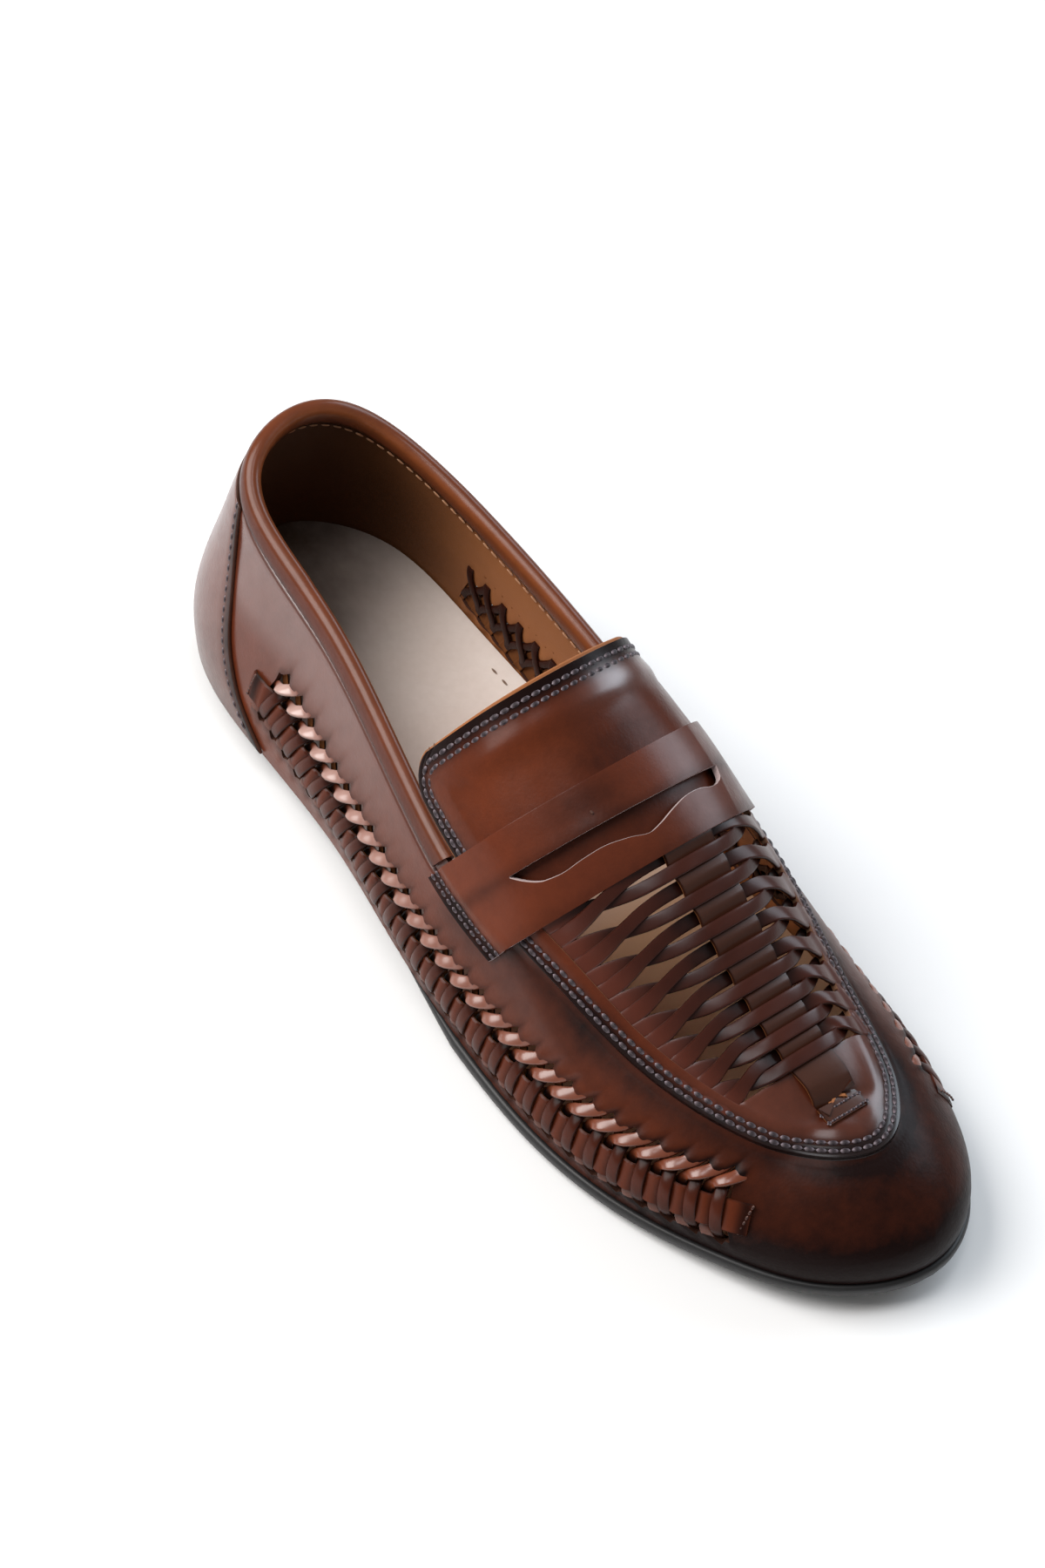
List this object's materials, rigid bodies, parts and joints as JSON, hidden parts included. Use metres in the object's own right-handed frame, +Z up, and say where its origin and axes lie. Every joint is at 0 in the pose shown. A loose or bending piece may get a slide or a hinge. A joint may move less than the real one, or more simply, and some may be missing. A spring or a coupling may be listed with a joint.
{
  "type": "woven penny loafer",
  "caption": "Right-foot slip-on leather loafer with plaited apron and side bands, slotted saddle strap, heel counter, bound collar and a low-heeled rubber sole.",
  "frame": {"origin": "on the floor under the middle of the shoe's bounding box", "axes": "+X towards the toe, +Y towards the wearer's left (the inner side of this right shoe), +Z up"},
  "size_m": [0.295, 0.1029, 0.0969],
  "materials": {
    "black_rubber": "satin moulded rubber",
    "insole_leather": "smooth beige lining leather",
    "brown_leather": "burnished brown leather",
    "strap_leather": "burnished brown leather",
    "counter_leather": "burnished brown leather",
    "dark_leather": "burnished dark brown leather"
  },
  "bodies": {
    "root": {"outsole": "black_rubber", "insole": "insole_leather", "upper": "brown_leather", "saddle_strap": "strap_leather", "heel_counter": "counter_leather", "collar_binding": "dark_leather"}
  },
  "joints": []
}
